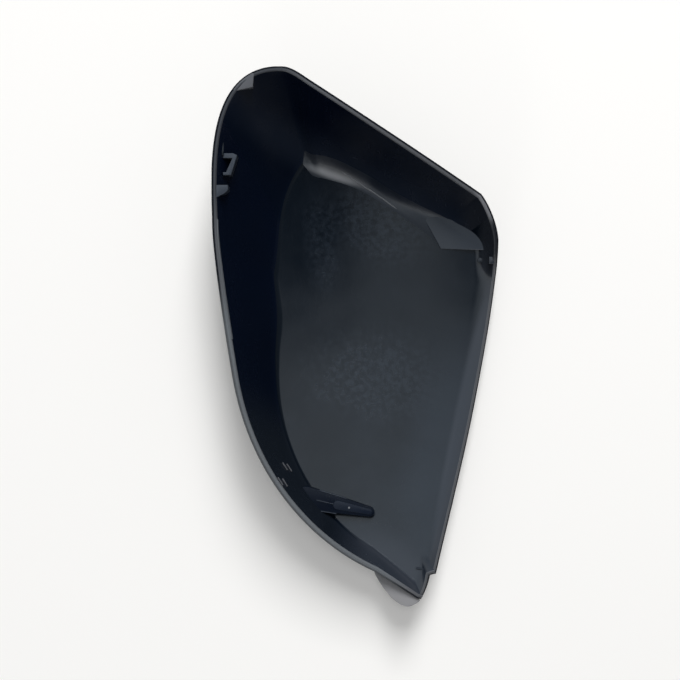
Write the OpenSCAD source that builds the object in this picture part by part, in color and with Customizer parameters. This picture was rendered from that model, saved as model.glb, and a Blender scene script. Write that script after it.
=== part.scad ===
// Wing mirror cover: the moulded outer cap of a car's door mirror, lying on its back with its hollow up.
// Millimetres. Seen from above, x runs from the flank to the outer corner and y from the nose to the top.
// The outer skin runs from the rim down its walls and over a crowned floor, and the inner skin is that
// surface moved in by the wall thickness. Posts, ribs and clips stand up from the inner skin.

/* [Overall] */
// Length from the nose to the top of the rim
cover_l = 244; // [228:1:262]
// Width from the flank to the outer corner
cover_w = 130; // [122:1:142]
// Wall thickness
wall_t = 2.4; // [2:0.1:3]
// Chamfer on both edges of the rim
rim_chamfer = 0.5; // [0.3:0.1:0.7]

/* [Floor] */
// Radius of the floor across the cover
crown_r_across = 230; // [200:5:300]
// Radius of the floor along the cover
crown_r_along = 420; // [380:10:520]
// Lowest point of the floor, in from the flank
crown_in = 55; // [50:1:60]
// Lowest point of the floor, up from the nose
crown_up = 131; // [122:1:140]
// Height that the flat at the lowest point takes off the crown
flat_sag = 0.15; // [0.1:0.05:0.3]
// Half the length of the blend between a wall and the floor
foot_blend = 4; // [3:0.5:5]
// How much the walls steepen towards the rim, where 1 is a straight wall
wall_bow = 1.25; // [1:0.05:1.5]

/* [Top of the rim] */
// Top point, in from the flank
top_in = 30.8; // [28:0.1:34]
// Height of the rim at the top
top_h = 52; // [46:0.5:58]
// Reach of the wall's foot at the top
top_foot = 39.5; // [37:0.5:41]

/* [Flank] */
// Flank point, down from the top
flank_drop = 69.5; // [64:0.5:75]
// Height of the rim at the flank
flank_h = 52; // [46:0.5:58]
// Reach of the wall's foot at the flank
flank_foot = 32.4; // [30:0.4:34]

/* [Belly] */
// Belly point, in from the flank
belly_in = 8.7; // [6:0.1:11]
// Belly point, up from the nose
belly_up = 105.6; // [98:0.2:112]
// Height of the rim at the belly
belly_h = 47.5; // [43:0.5:52]
// Reach of the wall's foot at the belly
belly_foot = 19; // [16:1:22]

/* [Lip beside the nose] */
// Start of the lip, in from the outer corner
lip_in = 57; // [54:0.5:60]
// Start of the lip, up from the nose
lip_up = 16; // [15:0.5:18]
// Height of the rim at the start of the lip
lip_h = 27; // [25:0.5:30]
// Height of the rim at the end of the lip
lip_end_h = 25.5; // [24.5:0.5:28]
// Reach of the lip's foot
lip_foot = 8; // [7:0.5:10]

/* [Ledge at the nose] */
// Nose point, in from the outer corner
nose_in = 41.8; // [40:0.1:43.5]
// Thickness of the ledge
ledge_t = 1.8; // [1.4:0.1:2.2]

/* [Tongue] */
// Toe of the tongue, in from the outer corner
toe_in = 35.8; // [35:0.1:37]
// Toe of the tongue, up from the nose
toe_up = 3.2; // [2.8:0.1:4]
// Width of the notch beside the heel
notch_w = 2.7; // [2:0.1:3.5]

/* [Heel] */
// Heel, in from the outer corner
heel_in = 28.8; // [27:0.1:30]
// Heel, up from the nose
heel_up = 14.8; // [13.5:0.1:16]
// Height of the rim at the heel
heel_h = 23; // [22:0.5:25]
// Reach of the upturned edge at the heel
heel_foot = 8; // [6:0.5:10]

/* [Low side between the heel and the outer corner] */
// Middle of the low side, in from the outer corner
waist_in = 9.9; // [9:0.1:11]
// Middle of the low side, up from the nose
waist_up = 94.2; // [88:0.2:100]
// Upper end of the low side, in from the outer corner
neck_in = 0.8; // [0.6:0.1:1.5]
// Upper end of the low side, down from the top
neck_drop = 94.5; // [93:0.5:98]
// Height of the rim above the floor along the low side
side_lip = 2; // [1.5:0.5:3.5]
// Reach of the upturned edge along the low side
side_foot = 6; // [5:0.5:8]

/* [Outer corner] */
// Outer corner, down from the top
corner_drop = 78.6; // [74:0.2:84]
// Height of the rim at the outer corner
corner_h = 25; // [22:0.5:28]
// Reach of the wall's foot at the outer corner
corner_foot = 7; // [6:0.5:9]

/* [Shoulder] */
// Shoulder, in from the outer corner
shoulder_in = 8.8; // [7:0.1:11]
// Shoulder, down from the top
shoulder_drop = 55.2; // [52:0.2:58]
// Height of the rim at the shoulder
shoulder_h = 34; // [30:0.5:38]
// Reach of the wall's foot at the shoulder
shoulder_foot = 18; // [15:1:21]

/* [Brow] */
// Height of the rim half way up the sloping edge
brow_h = 46; // [42:0.5:49]
// Reach of the wall's foot half way up the sloping edge
brow_foot = 22.4; // [20:0.2:25]

/* [Crest] */
// Upper end of the sloping edge, in from the flank
crest_in = 44; // [41:0.5:47]
// Upper end of the sloping edge, down from the top
crest_drop = 6.1; // [5:0.1:7]
// Height of the rim at the crest
crest_h = 51; // [46:0.5:56]
// Reach of the wall's foot at the crest
crest_foot = 36; // [34:0.5:38]

/* [Land on the left rim] */
// Depth of the land below the rim
land_drop = 0.6; // [0.5:0.1:1]
// Length of the land down the wall
land_l = 2.5; // [2:0.5:4]
// Width that the land adds at its ends
land_w = 1.4; // [1:0.1:1.8]
// Width that the land adds at its middle
land_neck = 0.3; // [0.2:0.1:0.8]

/* [Hook post] */
// Upper end of the hook, down from the top
hook_drop = 38.6; // [37:0.2:41]
// Length of the hook along the flank
hook_l = 9.8; // [9:0.2:12]
// Face of the hook, in from the flank
hook_in = 11.3; // [10.5:0.1:12.5]
// Thickness of the hook
hook_t = 2.2; // [1.8:0.1:2.6]
// Height of the hook's top
hook_h = 49.5; // [48:0.5:51]

/* [Seat] */
// Upper edge of the seat, down from the top
seat_drop = 53; // [51.5:0.1:55]
// Width of the seat
seat_w = 5.8; // [5:0.1:6.5]
// Face of the seat, in from the flank
seat_in = 7.4; // [7:0.1:9]
// Height of the seat's top
seat_h = 53; // [51:0.5:54]

/* [Gusset] */
// Length of the gusset along the rim
gusset_l = 11.5; // [10:0.5:13]
// Distance of the gusset's point from the outside of the rim
gusset_w = 6.4; // [5.5:0.1:7.5]
// Depth of the gusset's top below the inner edge of the rim
gusset_drop = 0.5; // [0.3:0.1:1.5]

/* [Ramp along the foot of the sloping wall] */
// How far the ramp reaches up the wall, as a share of its usual reach
ramp_up = 1; // [0.9:0.05:1.1]
// How far the ramp reaches over the floor, as a share of its usual reach
ramp_out = 1; // [0.9:0.05:1.1]

/* [Corner pad] */
// Fold line of the pad, down from the top
fold_drop = 79.2; // [78.6:0.1:81]
// Left end of the fold, in from the outer corner
fold_in = 26; // [24:0.5:28]
// Height of the step at the right end of the fold
fold_h = 2.4; // [1.5:0.1:3]
// Length of the pad up from the fold
pad_l = 19; // [17:0.5:21]

/* [Finger clip] */
// Nose of the finger, in from the outer corner
finger_in = 59.4; // [58:0.2:61]
// Nose of the finger, up from the nose of the cover
finger_up = 42.7; // [41.5:0.1:44]
// Length of the finger between the centres of its ends
finger_l = 30; // [28:0.5:32]
// Slope of the finger in degrees
finger_turn = 12; // [10:0.5:14]
// Radius of the finger's nose
finger_nose_r = 2.3; // [1.8:0.1:2.8]
// Radius of the finger's root
finger_root_r = 5.5; // [4.5:0.1:6]
// Height of the finger's top
finger_h = 16; // [15:0.5:18]

/* [Small ribs and pegs] */
// Thickness of a small rib
rib_t = 0.9; // [0.8:0.1:1.2]
// Length of a small rib
rib_l = 4.6; // [4:0.2:5.4]
// Diameter of the peg beside the outer corner
peg_d = 2.4; // [2:0.1:3]
// Height of the peg above the inner skin
peg_h = 2; // [1.5:0.1:2.5]

/* [Hidden] */

CENTRE = [crown_in, crown_up];
FULL_TURN = 360;
ROUND_SIDES = 32;
SLOPE = atan2(shoulder_drop - crest_drop, crest_in - (cover_w - shoulder_in));

// A key of the rim: its place in the plan, height, reach of the wall's foot towards the centre, headings of
// the curve before and after it, climb and spread as the rise in height and reach for each millimetre along
// it, lengths of the curve's handles as shares of the chord, and facets up to the next key
function key(at, h, foot, facets, heading, turn = 0, climb = 0, spread = 0, before = 1 / 3, after = 1 / 3) =
    [concat(at, h, foot), heading, heading + turn, [climb, spread], before, after, facets];

SHOULDER = [cover_w - shoulder_in, cover_l - shoulder_drop];
CREST = [crest_in, cover_l - crest_drop];
HEEL = [cover_w - heel_in, heel_up];
WAIST = [cover_w - waist_in, waist_up];
NECK = [cover_w - neck_in, cover_l - neck_drop];
NOTCH = HEEL - [notch_w, 0.5];
TOE = [cover_w - toe_in, toe_up];
LIP_END = TOE + [-2, 0.6];
TOE_FALL = 1.5;
NOTCH_RISE = 0.4;

// Height of the outer skin over the floor that the cover lies on, away from the walls
function sag(x, radius) = x * x / (2 * radius);
function floor_z(p) =
    max(0, sag(p.x - crown_in, crown_r_across) + sag(p.y - crown_up, crown_r_along) - flat_sag);

// The rim counter-clockwise from its top point
KEYS = [
    key([top_in, cover_l], top_h, top_foot, 20, 180, climb = 0.08, spread = 0.75, after = 0.476),
    key([0, cover_l - flank_drop], flank_h, flank_foot, 9, 270,
        climb = -0.08, spread = -0.42, before = 0.23, after = 0.21),
    key([belly_in, belly_up], belly_h, belly_foot, 18, 279.5, climb = -0.1, before = 0.2, after = 0.397),
    key([cover_w - lip_in, lip_up], lip_h, lip_foot, 7, 334.8, turn = -8, climb = -0.2, before = 0.311),
    key(LIP_END, lip_end_h, lip_foot, 1, 328),
    key(TOE, lip_end_h - TOE_FALL, lip_foot, 5, 343, turn = 75),
    key(NOTCH, heel_h + NOTCH_RISE, heel_foot, 1, 79, turn = -70),
    key(HEEL, heel_h, heel_foot, 9, 9, turn = 66.9, climb = -0.22),
    key(WAIST, floor_z(WAIST) + side_lip, side_foot, 7, 79, climb = -0.03),
    key(NECK, floor_z(NECK) + side_lip, side_foot, 5, 83.4, climb = 0.1, after = 0.36),
    key([cover_w, cover_l - corner_drop], corner_h, corner_foot, 8, 90,
        climb = 0.36, before = 0.3, after = 0.36),
    key(SHOULDER, shoulder_h, shoulder_foot, 7, 130, turn = SLOPE - 130, climb = 0.38, before = 0.24),
    key((SHOULDER + CREST) / 2, brow_h, brow_foot, 8, SLOPE, climb = 0.16),
    key(CREST, crest_h, crest_foot, 4, SLOPE, climb = 0.05, spread = 0.4),
];

function unit(v) = v / norm(v);
function wrap(i) = (i + len(KEYS)) % len(KEYS);
function along(heading, slopes) = concat([cos(heading), sin(heading)], slopes);

// Point of the cubic curve with control points p, at u from 0 to 1
function on_curve(p, u) =
    p[0] * pow(1 - u, 3) + p[1] * 3 * u * pow(1 - u, 2) + p[2] * 3 * u * u * (1 - u) + p[3] * pow(u, 3);

// Control points of the rim's curve from key a to key b
function span(a, b) =
    let (chord = norm([b[0].x - a[0].x, b[0].y - a[0].y]))
    [
        a[0],
        a[0] + along(a[2], a[3]) * chord * a[5],
        b[0] - along(b[1], b[3]) * chord * b[4],
        b[0],
    ];

// Place, height and foot reach of the rim at t, which counts the keys passed since the top point
function rim_at(t) = on_curve(span(KEYS[wrap(floor(t))], KEYS[wrap(floor(t) + 1)]), t - floor(t));

// Share of a wall's height that is left at u, which is 1 at the rim and 0 at the foot
function wall_share(u, blend) =
    pow(u <= -blend ? 0 : u < blend ? pow(u + blend, 2) / (4 * blend) : u, wall_bow);

// Point of the outer skin at distance d from the rim's point r towards the centre
function skin(r, d) =
    let (p = [r.x, r.y], q = p + d * unit(CENTRE - p))
    [q.x, q.y, floor_z(q) + (r.z - floor_z(p)) * wall_share(1 - d / r[3], foot_blend / r[3])];

// The same point moved square to the skin by lift, towards the hollow
NEAR_T = 0.01;
NEAR_D = 0.1;
function lifted(t, d, lift) =
    let (
        sideways = skin(rim_at(t + NEAR_T), d) - skin(rim_at(t - NEAR_T), d),
        inwards = skin(rim_at(t), d + NEAR_D) - skin(rim_at(t), d - NEAR_D)
    )
    skin(rim_at(t), d) + lift * unit(cross(sideways, inwards));

// Distances from the rim at t at which the skin has a ring of points: down the wall, round its foot, over
// the floor, and round the flat at the lowest point
WALL_RINGS = [0.2, 0.4, 0.6, 0.8];
BLEND_RINGS = [-1, -0.5, 0, 0.5, 1];
FLOOR_RINGS = [0.25, 0.5, 0.75, 1];
FLAT_SHARE = 0.6;
function flat_radius(v) =
    sqrt(2 * flat_sag) / norm([v.x / sqrt(crown_r_across), v.y / sqrt(crown_r_along)]);
function rings(t) =
    let (
        r = rim_at(t),
        to_centre = CENTRE - [r.x, r.y],
        flat_r = flat_radius(unit(to_centre)),
        foot = r[3] + foot_blend,
        floor_run = norm(to_centre) - flat_r - foot
    )
    concat(
        [for (s = WALL_RINGS) s * (r[3] - foot_blend)],
        [for (s = BLEND_RINGS) r[3] + s * foot_blend],
        [for (s = FLOOR_RINGS) foot + s * floor_run],
        [norm(to_centre) - FLAT_SHARE * flat_r]
    );

function reversed(list) = [for (i = [len(list) - 1:-1:0]) list[i]];

STATIONS = [for (i = [0:len(KEYS) - 1]) for (k = [0:KEYS[i][6] - 1]) i + k / KEYS[i][6]];

// Section of the shell from the flat's underside out to the rim and back in along the inner skin
function shell_section(t) =
    let (depths = rings(t))
    concat(
        [for (d = reversed(depths)) lifted(t, d, 0)],
        [lifted(t, rim_chamfer, 0), lifted(t, 0, rim_chamfer)],
        [lifted(t, 0, wall_t - rim_chamfer), lifted(t, rim_chamfer, wall_t)],
        [for (d = depths) lifted(t, d, wall_t)]
    );

// Triangles between point j and the next one of sections a and b, each of m points
function strip(a, b, j, next, m) =
    [[a * m + j, b * m + j, b * m + next], [a * m + j, b * m + next, a * m + next]];

// Solid through open sections that go once round the centre, with a flat cap at both ends of the sections
module swept_ring(sections) {
    n = len(sections);
    m = len(sections[0]);
    sides = [for (i = [0:n - 1]) for (j = [0:m - 2]) for (f = strip((i + 1) % n, i, j, j + 1, m)) f];
    caps = [[for (i = [0:n - 1]) i * m], [for (i = [n - 1:-1:0]) i * m + m - 1]];
    polyhedron([for (s = sections) for (p = s) p], concat(sides, caps), convexity = 8);
}

// Solid through closed sections from one end to the other
module swept_bar(sections) {
    n = len(sections);
    m = len(sections[0]);
    last = (n - 1) * m;
    sides = [for (i = [0:n - 2]) for (j = [0:m - 1]) for (f = strip(i, i + 1, j, (j + 1) % m, m)) f];
    caps = [for (j = [1:m - 2]) for (f = [[0, j, j + 1], [last, last + j + 1, last + j]]) f];
    polyhedron([for (s = sections) for (p = s) p], concat(sides, caps), convexity = 4);
}

module shell() {
    swept_ring([for (t = STATIONS) shell_section(t)]);
}

// Room above the middle of the wall, which everything that stands on the inner skin is cut to
ROOM_H = max(top_h, flank_h, crest_h) + 20;
ROOM_STEP = 3;
module room() {
    swept_ring([
        for (k = [0:ROOM_STEP:len(STATIONS) - 1])
            let (t = STATIONS[k], depths = rings(t), top = lifted(t, 0, wall_t / 2))
            concat([for (d = reversed(depths)) lifted(t, d, wall_t / 2)], [top], [[top.x, top.y, ROOM_H]])
    ]);
}

// Land along the left rim, wide at both ends and narrow at its middle
LAND_FROM = 0.97;
LAND_TO = 1.72;
LAND_STEPS = 14;
LAND_EDGE = 0.1;
module rim_land() {
    swept_bar([
        for (k = [0:LAND_STEPS])
            let (
                s = k / LAND_STEPS,
                t = LAND_FROM + s * (LAND_TO - LAND_FROM),
                w = land_neck + (land_w - land_neck) * (0.5 + 0.5 * cos(FULL_TURN * s))
            )
            [
                lifted(t, land_drop, wall_t / 2),
                lifted(t, land_drop + land_l, wall_t / 2),
                lifted(t, land_drop + land_l, wall_t + LAND_EDGE),
                lifted(t, land_drop, wall_t + w),
            ]
    ]);
}

// Crescent ledge outside the lip, which carries the floor on to the nose
LEDGE_FROM = 3.02;
LEDGE_TO = 4.4;
LEDGE_STEPS = 10;
LEDGE_BITE = 6;
LEDGE_LIFT = 0.3;
LEDGE_START = [cover_w - lip_in, lip_up - 1.5];
LEDGE_END = TOE - [0.5, 0.4];
NOSE = [cover_w - nose_in, 0];
NOSE_SHARE = 0.7;
TO_NOSE = [LEDGE_START, LEDGE_START + [2.9, -5.8], NOSE - [6, 0], NOSE];
FROM_NOSE = [NOSE, NOSE + [1.8, 0], LEDGE_END - [1.1, 1.2], LEDGE_END];
function ledge_edge(s) =
    s < NOSE_SHARE
        ? on_curve(TO_NOSE, s / NOSE_SHARE)
        : on_curve(FROM_NOSE, (s - NOSE_SHARE) / (1 - NOSE_SHARE));
function on_floor(p, lift) = [p.x, p.y, floor_z(p) + lift];
module ledge() {
    swept_bar([
        for (k = [0:LEDGE_STEPS])
            let (
                s = k / LEDGE_STEPS,
                outer = ledge_edge(s),
                root = skin(rim_at(LEDGE_FROM + s * (LEDGE_TO - LEDGE_FROM)), LEDGE_BITE)
            )
            [
                on_floor(outer, LEDGE_LIFT),
                on_floor(root, LEDGE_LIFT),
                on_floor(root, LEDGE_LIFT + ledge_t),
                on_floor(outer, LEDGE_LIFT + ledge_t),
            ]
    ]);
}

// Hook post: a leaning rib with a foot at each end, open towards the flank
HOOK_FOOT = 6.4;
HOOK_LEAN = 2.8;
HOOK_BEVEL = 1.8;
HOOK_FOOT_T = 1.4;
module hook_post() {
    top = cover_l - hook_drop;
    low = top - hook_l;
    foot_x = hook_in - HOOK_FOOT;
    low_x = hook_in - HOOK_LEAN;
    linear_extrude(hook_h)
        polygon([
            [foot_x, top], [hook_in - HOOK_BEVEL, top], [hook_in, top - HOOK_BEVEL / 2],
            [low_x, low], [foot_x, low], [foot_x, low + HOOK_FOOT_T], [low_x - hook_t, low + HOOK_FOOT_T],
            [hook_in - hook_t, top - hook_t], [foot_x, top - hook_t],
        ]);
}

// Rib that runs on up the flank from the hook post
module hook_rib() {
    small_rib([hook_in - HOOK_FOOT, cover_l - hook_drop - 1], 90, rib_l + 1, hook_h + 1);
}

// Seat: a flat-topped post against the rim, with one corner cut off
SEAT_CUT = 1.4;
SEAT_CUT_FROM = 0.4;
SEAT_CUT_TO = 0.63;
SEAT_FLARE = 1;
module seat() {
    top = cover_l - seat_drop;
    linear_extrude(seat_h)
        polygon([
            [0, top], [seat_in, top], [seat_in, top - SEAT_CUT_FROM * seat_w],
            [seat_in - SEAT_CUT, top - SEAT_CUT_TO * seat_w], [0, top - seat_w - SEAT_FLARE],
        ]);
}

// Gusset: a flat triangle on the inner edge of the rim, across the top left corner
GUSSET_AT = 0.21;
GUSSET_SKEW = 0.25;
module gusset() {
    r = rim_at(GUSSET_AT);
    to_next = rim_at(GUSSET_AT + NEAR_T) - r;
    end = gusset_l / 2;
    translate([r.x, r.y, 0])
        rotate(atan2(to_next.y, to_next.x))
            linear_extrude(lifted(GUSSET_AT, 0, wall_t).z - gusset_drop)
                polygon([
                    [-end, 0], [end, 0], [end, wall_t], [-end * GUSSET_SKEW, gusset_w], [-end, wall_t],
                ]);
}

// Ramp between the sloping wall and the floor, as a flat band from the outer corner to the crest. Each row has
// the place along the rim, the reach up the wall from its foot and the reach over the floor from its foot.
RAMP = [
    [10.3, 0.9, 7], [10.5, 0.8, 11], [10.8, 0.9, 9.6], [11, 0.8, 9], [11.25, 1, 6.6], [11.5, 1.8, 4.2],
    [11.75, 2.6, 2.8], [12, 2.6, 2.8], [12.25, 2.8, 2.8], [12.5, 4.2, 2.4], [12.75, 5.8, 2],
    [13, 5.8, 2], [13.25, 4.4, 3.4], [13.5, 4, 4.6], [13.7, 3.8, 5], [13.9, 3, 4.4], [14, 1, 2],
];
RAMP_STEP = 0.1;
RAMP_BITE = 0.5;
RAMP_EDGE = 0.05;
RAMP_UNDER = 0.4;
function ramp_row(t, column) = lookup(t, [for (row = RAMP) [row[0], row[column]]]);
module foot_ramp() {
    swept_bar([
        for (t = [RAMP[0][0]:RAMP_STEP:RAMP[len(RAMP) - 1][0]])
            let (
                foot = rim_at(t)[3],
                near = foot - ramp_row(t, 1) * ramp_up,
                far = foot + ramp_row(t, 2) * ramp_out
            )
            [
                lifted(t, near, wall_t - RAMP_BITE),
                lifted(t, foot, wall_t * RAMP_UNDER),
                lifted(t, far, wall_t - RAMP_BITE),
                lifted(t, far, wall_t + RAMP_EDGE),
                lifted(t, near, wall_t + RAMP_EDGE),
            ]
    ]);
}

// Pad beside the outer corner: a flat facet whose edges stand proud of the floor, most at the fold line
FOLD_Y = cover_l - fold_drop;
PAD_EDGE = 0.4;
PAD_IN = 5;
PAD_DIP = 1;
PAD_LEAN = 0.55;
module corner_pad() {
    left = [cover_w - fold_in, FOLD_Y];
    right = [cover_w - PAD_IN, FOLD_Y - PAD_DIP];
    upper = left + [-PAD_LEAN * pad_l, pad_l];
    far = right + upper - left;
    left_z = floor_z(left) + wall_t + PAD_EDGE;
    right_z = floor_z(right) + wall_t + fold_h;
    upper_z = floor_z(upper) + wall_t + PAD_EDGE;
    tops = [left_z, right_z, right_z + upper_z - left_z, upper_z];
    plan = [left, right, far, upper];
    polyhedron(
        concat([for (p = plan) [p.x, p.y, 0]], [for (i = [0:3]) [plan[i].x, plan[i].y, tops[i]]]),
        [[0, 1, 2, 3], [4, 7, 6, 5], [0, 4, 5, 1], [1, 5, 6, 2], [2, 6, 7, 3], [3, 7, 4, 0]]
    );
}

// Finger clip: a tapered finger with round ends, from the left wall's foot over the floor
module finger_clip() {
    translate([cover_w - finger_in, finger_up, 0])
        rotate(-finger_turn)
            linear_extrude(finger_h)
                hull() {
                    circle(finger_nose_r, $fn = ROUND_SIDES);
                    translate([-finger_l, 0])
                        circle(finger_root_r, $fn = ROUND_SIDES);
                }
}

// Small upright rib from one plan point at a heading, up to a height
module small_rib(from, heading, length, height) {
    translate([from.x, from.y, 0])
        rotate(heading)
            translate([0, -rib_t / 2, 0])
                cube([length, rib_t, height]);
}

// Two pairs of small ribs on the lower left wall, each given by its upper end and its height
RIB_PAIRS = [[[31.3, 66], 15], [[30, 59.3], 18]];
PAIR_GAP = [2.6, -1];
PAIR_STEP = 2;
PAIR_HEADING = -58;
module rib_pairs() {
    for (pair = RIB_PAIRS)
        for (side = [0, 1])
            small_rib(pair[0] + side * PAIR_GAP, PAIR_HEADING, rib_l, pair[1] - side * PAIR_STEP);
}

// Low rib over the floor from the heel inwards, where the tongue begins
HEEL_RIB_H = 0.9;
HEEL_RIB_PATH = [HEEL + [-9.2, 2.6], HEEL + [-4.6, 1.8], HEEL + [0, 1]];
module heel_rib() {
    side = [0, rib_t / 2];
    swept_bar([
        for (p = HEEL_RIB_PATH)
            [
                on_floor(p - side, 0),
                on_floor(p + side, 0),
                on_floor(p + side, wall_t + HEEL_RIB_H),
                on_floor(p - side, wall_t + HEEL_RIB_H),
            ]
    ]);
}

// Peg and catch beside the outer corner, below the pad
PEG_AT = [cover_w - 8, FOLD_Y - 5.5];
CATCH_AT = [cover_w - 4.4, FOLD_Y - 7.5];
CATCH_SIZE = [2.6, 3.4, corner_h - 3.5];
module corner_peg() {
    translate([PEG_AT.x, PEG_AT.y, 0])
        cylinder(h = floor_z(PEG_AT) + wall_t + peg_h, d = peg_d, $fn = ROUND_SIDES);
    translate([CATCH_AT.x, CATCH_AT.y, 0])
        cube(CATCH_SIZE);
}

// Everything that stands on the inner skin
module fittings() {
    intersection() {
        union() {
            hook_post();
            hook_rib();
            seat();
            gusset();
            corner_pad();
            finger_clip();
            rib_pairs();
            heel_rib();
            corner_peg();
        }
        room();
    }
}

module mirror_cover() {
    color([0.06, 0.07, 0.09])
        translate([-cover_w / 2, -cover_l / 2, 0])
            union() {
                shell();
                ledge();
                rim_land();
                foot_ramp();
                fittings();
            }
}

mirror_cover();
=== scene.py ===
"""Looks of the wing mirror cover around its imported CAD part.

The surfaces are the part's own curves with finer facets. Lengths are millimetres in the part's plan, and
put() moves them into the CAD's frame in metres."""

import math

import bpy
import numpy as np
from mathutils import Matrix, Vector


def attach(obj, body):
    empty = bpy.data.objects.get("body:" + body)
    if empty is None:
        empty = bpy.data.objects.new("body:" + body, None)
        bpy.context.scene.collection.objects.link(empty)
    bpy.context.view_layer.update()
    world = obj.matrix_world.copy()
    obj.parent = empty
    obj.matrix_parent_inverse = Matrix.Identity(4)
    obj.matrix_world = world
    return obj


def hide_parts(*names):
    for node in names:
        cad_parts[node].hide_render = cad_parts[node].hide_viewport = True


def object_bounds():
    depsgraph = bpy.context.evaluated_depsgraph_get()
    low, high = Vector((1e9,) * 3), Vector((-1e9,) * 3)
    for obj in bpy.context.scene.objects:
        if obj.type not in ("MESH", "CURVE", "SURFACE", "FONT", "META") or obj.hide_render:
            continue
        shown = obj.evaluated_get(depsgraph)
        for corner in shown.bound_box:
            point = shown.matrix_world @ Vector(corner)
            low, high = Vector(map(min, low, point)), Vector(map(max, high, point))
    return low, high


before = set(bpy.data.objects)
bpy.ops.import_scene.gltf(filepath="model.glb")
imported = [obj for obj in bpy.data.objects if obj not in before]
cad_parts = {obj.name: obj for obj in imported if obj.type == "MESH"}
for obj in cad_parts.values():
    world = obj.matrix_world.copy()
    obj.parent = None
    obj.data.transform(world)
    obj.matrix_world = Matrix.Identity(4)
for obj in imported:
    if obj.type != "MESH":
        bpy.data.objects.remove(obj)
cad_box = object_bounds()

NODE = "mirror_cover"
BODY = "root"

# Sizes, as in the part's source
COVER_L, COVER_W, WALL_T, RIM_C = 244.0, 130.0, 2.4, 0.5
R_ACROSS, R_ALONG, FLAT_SAG = 230.0, 420.0, 0.15
CENTRE = np.array([55.0, 131.0])
BLEND, WALL_BOW = 4.0, 1.25
SHOULDER = np.array([121.2, 188.8])
CREST = np.array([44.0, 237.9])
HEEL = np.array([101.2, 14.8])
WAIST = np.array([120.1, 94.2])
NECK = np.array([129.2, 149.5])
SIDE_LIP = 2.0
NOTCH = HEEL - [2.7, 0.5]
TOE = np.array([94.2, 3.2])
LIP_END = TOE + [-2.0, 0.6]
SLOPE = math.degrees(math.atan2(SHOULDER[1] - CREST[1], SHOULDER[0] - CREST[0])) + 180
THIRD = 1 / 3
CAMERA_AT = (-0.008, 0.0003, 0.85)
LENS, SENSOR = 95.3, 36


def floor_z(x, y):
    s = (x - CENTRE[0]) ** 2 / (2 * R_ACROSS) + (y - CENTRE[1]) ** 2 / (2 * R_ALONG) - FLAT_SAG
    return np.maximum(s, 0)


def key(at, h, foot, heading, turn=0.0, climb=0.0, spread=0.0, before=THIRD, after=THIRD):
    """Named point of the rim: its place, its height and the wall's reach in plan from the rim to its foot.
    The rim runs in on its heading and leaves turned, climb and spread are the slopes of h and foot, and
    before and after are the curve's handles as shares of the chord."""
    return (np.array([at[0], at[1], h, foot]), heading, heading + turn, (climb, spread), before, after)


KEYS = [
    key((30.8, 244), 52, 39.5, 180, climb=0.08, spread=0.75, after=0.476),  # top
    key((0, 174.5), 52, 32.4, 270, climb=-0.08, spread=-0.42, before=0.23, after=0.21),  # flank
    key((8.7, 105.6), 47.5, 19, 279.5, climb=-0.1, before=0.2, after=0.397),  # belly
    key((73, 16), 27, 8, 334.8, turn=-8, climb=-0.2, before=0.311),  # lip
    key(LIP_END, 25.5, 8, 328),  # end of the lip
    key(TOE, 24, 8, 343, turn=75),  # toe
    key(NOTCH, 23.4, 8, 79, turn=-70),  # notch
    key(HEEL, 23, 8, 9, turn=66.9, climb=-0.22),  # heel
    key(WAIST, floor_z(*WAIST) + SIDE_LIP, 6, 79, climb=-0.03),  # waist
    key(NECK, floor_z(*NECK) + SIDE_LIP, 6, 83.4, climb=0.1, after=0.36),  # neck
    key((130, 165.4), 25, 7, 90, climb=0.36, before=0.3, after=0.36),  # corner
    key(SHOULDER, 34, 18, 130, turn=SLOPE - 130, climb=0.38, before=0.24),  # shoulder
    key((SHOULDER + CREST) / 2, 46, 22.4, SLOPE, climb=0.16),  # brow
    key(CREST, 51, 36, SLOPE, climb=0.05, spread=0.4),  # crest
]
FACETS = [20, 9, 18, 7, 1, 5, 1, 9, 7, 5, 8, 7, 8, 4]  # facets of the part from each key to the next


def along(heading, slopes):
    a = math.radians(heading)
    return np.array([math.cos(a), math.sin(a), slopes[0], slopes[1]])


def span(a, b):
    """The four points of the rim's curve from key a to key b."""
    chord = np.linalg.norm(b[0][:2] - a[0][:2])
    return [a[0], a[0] + along(a[2], a[3]) * chord * a[5], b[0] - along(b[1], b[3]) * chord * b[4], b[0]]


SPANS = np.array([span(a, KEYS[(i + 1) % len(KEYS)]) for i, a in enumerate(KEYS)])


def rim_at(t):
    """The rim's place in plan, height and foot at t, which goes up by one from key to key."""
    t = np.mod(t, len(KEYS))
    i = np.floor(t).astype(int)
    u = (t - i)[..., None]
    p = SPANS[i]
    return (p[..., 0, :] * (1 - u) ** 3 + 3 * p[..., 1, :] * u * (1 - u) ** 2
            + 3 * p[..., 2, :] * u * u * (1 - u) + p[..., 3, :] * u ** 3)


def soft_floor(x, y):
    """The crowned floor, eased into its flat."""
    s = (x - CENTRE[0]) ** 2 / (2 * R_ACROSS) + (y - CENTRE[1]) ** 2 / (2 * R_ALONG) - FLAT_SAG
    return np.where(s > FLAT_SAG, s, (s + FLAT_SAG) ** 2 / (4 * FLAT_SAG))


def skin(r, d):
    """Point of the outer skin that is d in from the rim's point r, towards the centre in plan."""
    to_centre = CENTRE - r[..., :2]
    q = r[..., :2] + to_centre * (d / np.linalg.norm(to_centre, axis=-1))[..., None]
    u, b = 1 - d / r[..., 3], BLEND / r[..., 3]
    share = np.where(u < b, np.clip(u + b, 0, None) ** 2 / (4 * b), u) ** WALL_BOW
    z = soft_floor(q[..., 0], q[..., 1]) + (r[..., 2] - soft_floor(r[..., 0], r[..., 1])) * share
    return np.concatenate([q, z[..., None]], axis=-1)


def unit(v):
    return v / np.linalg.norm(v, axis=-1, keepdims=True)


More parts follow.
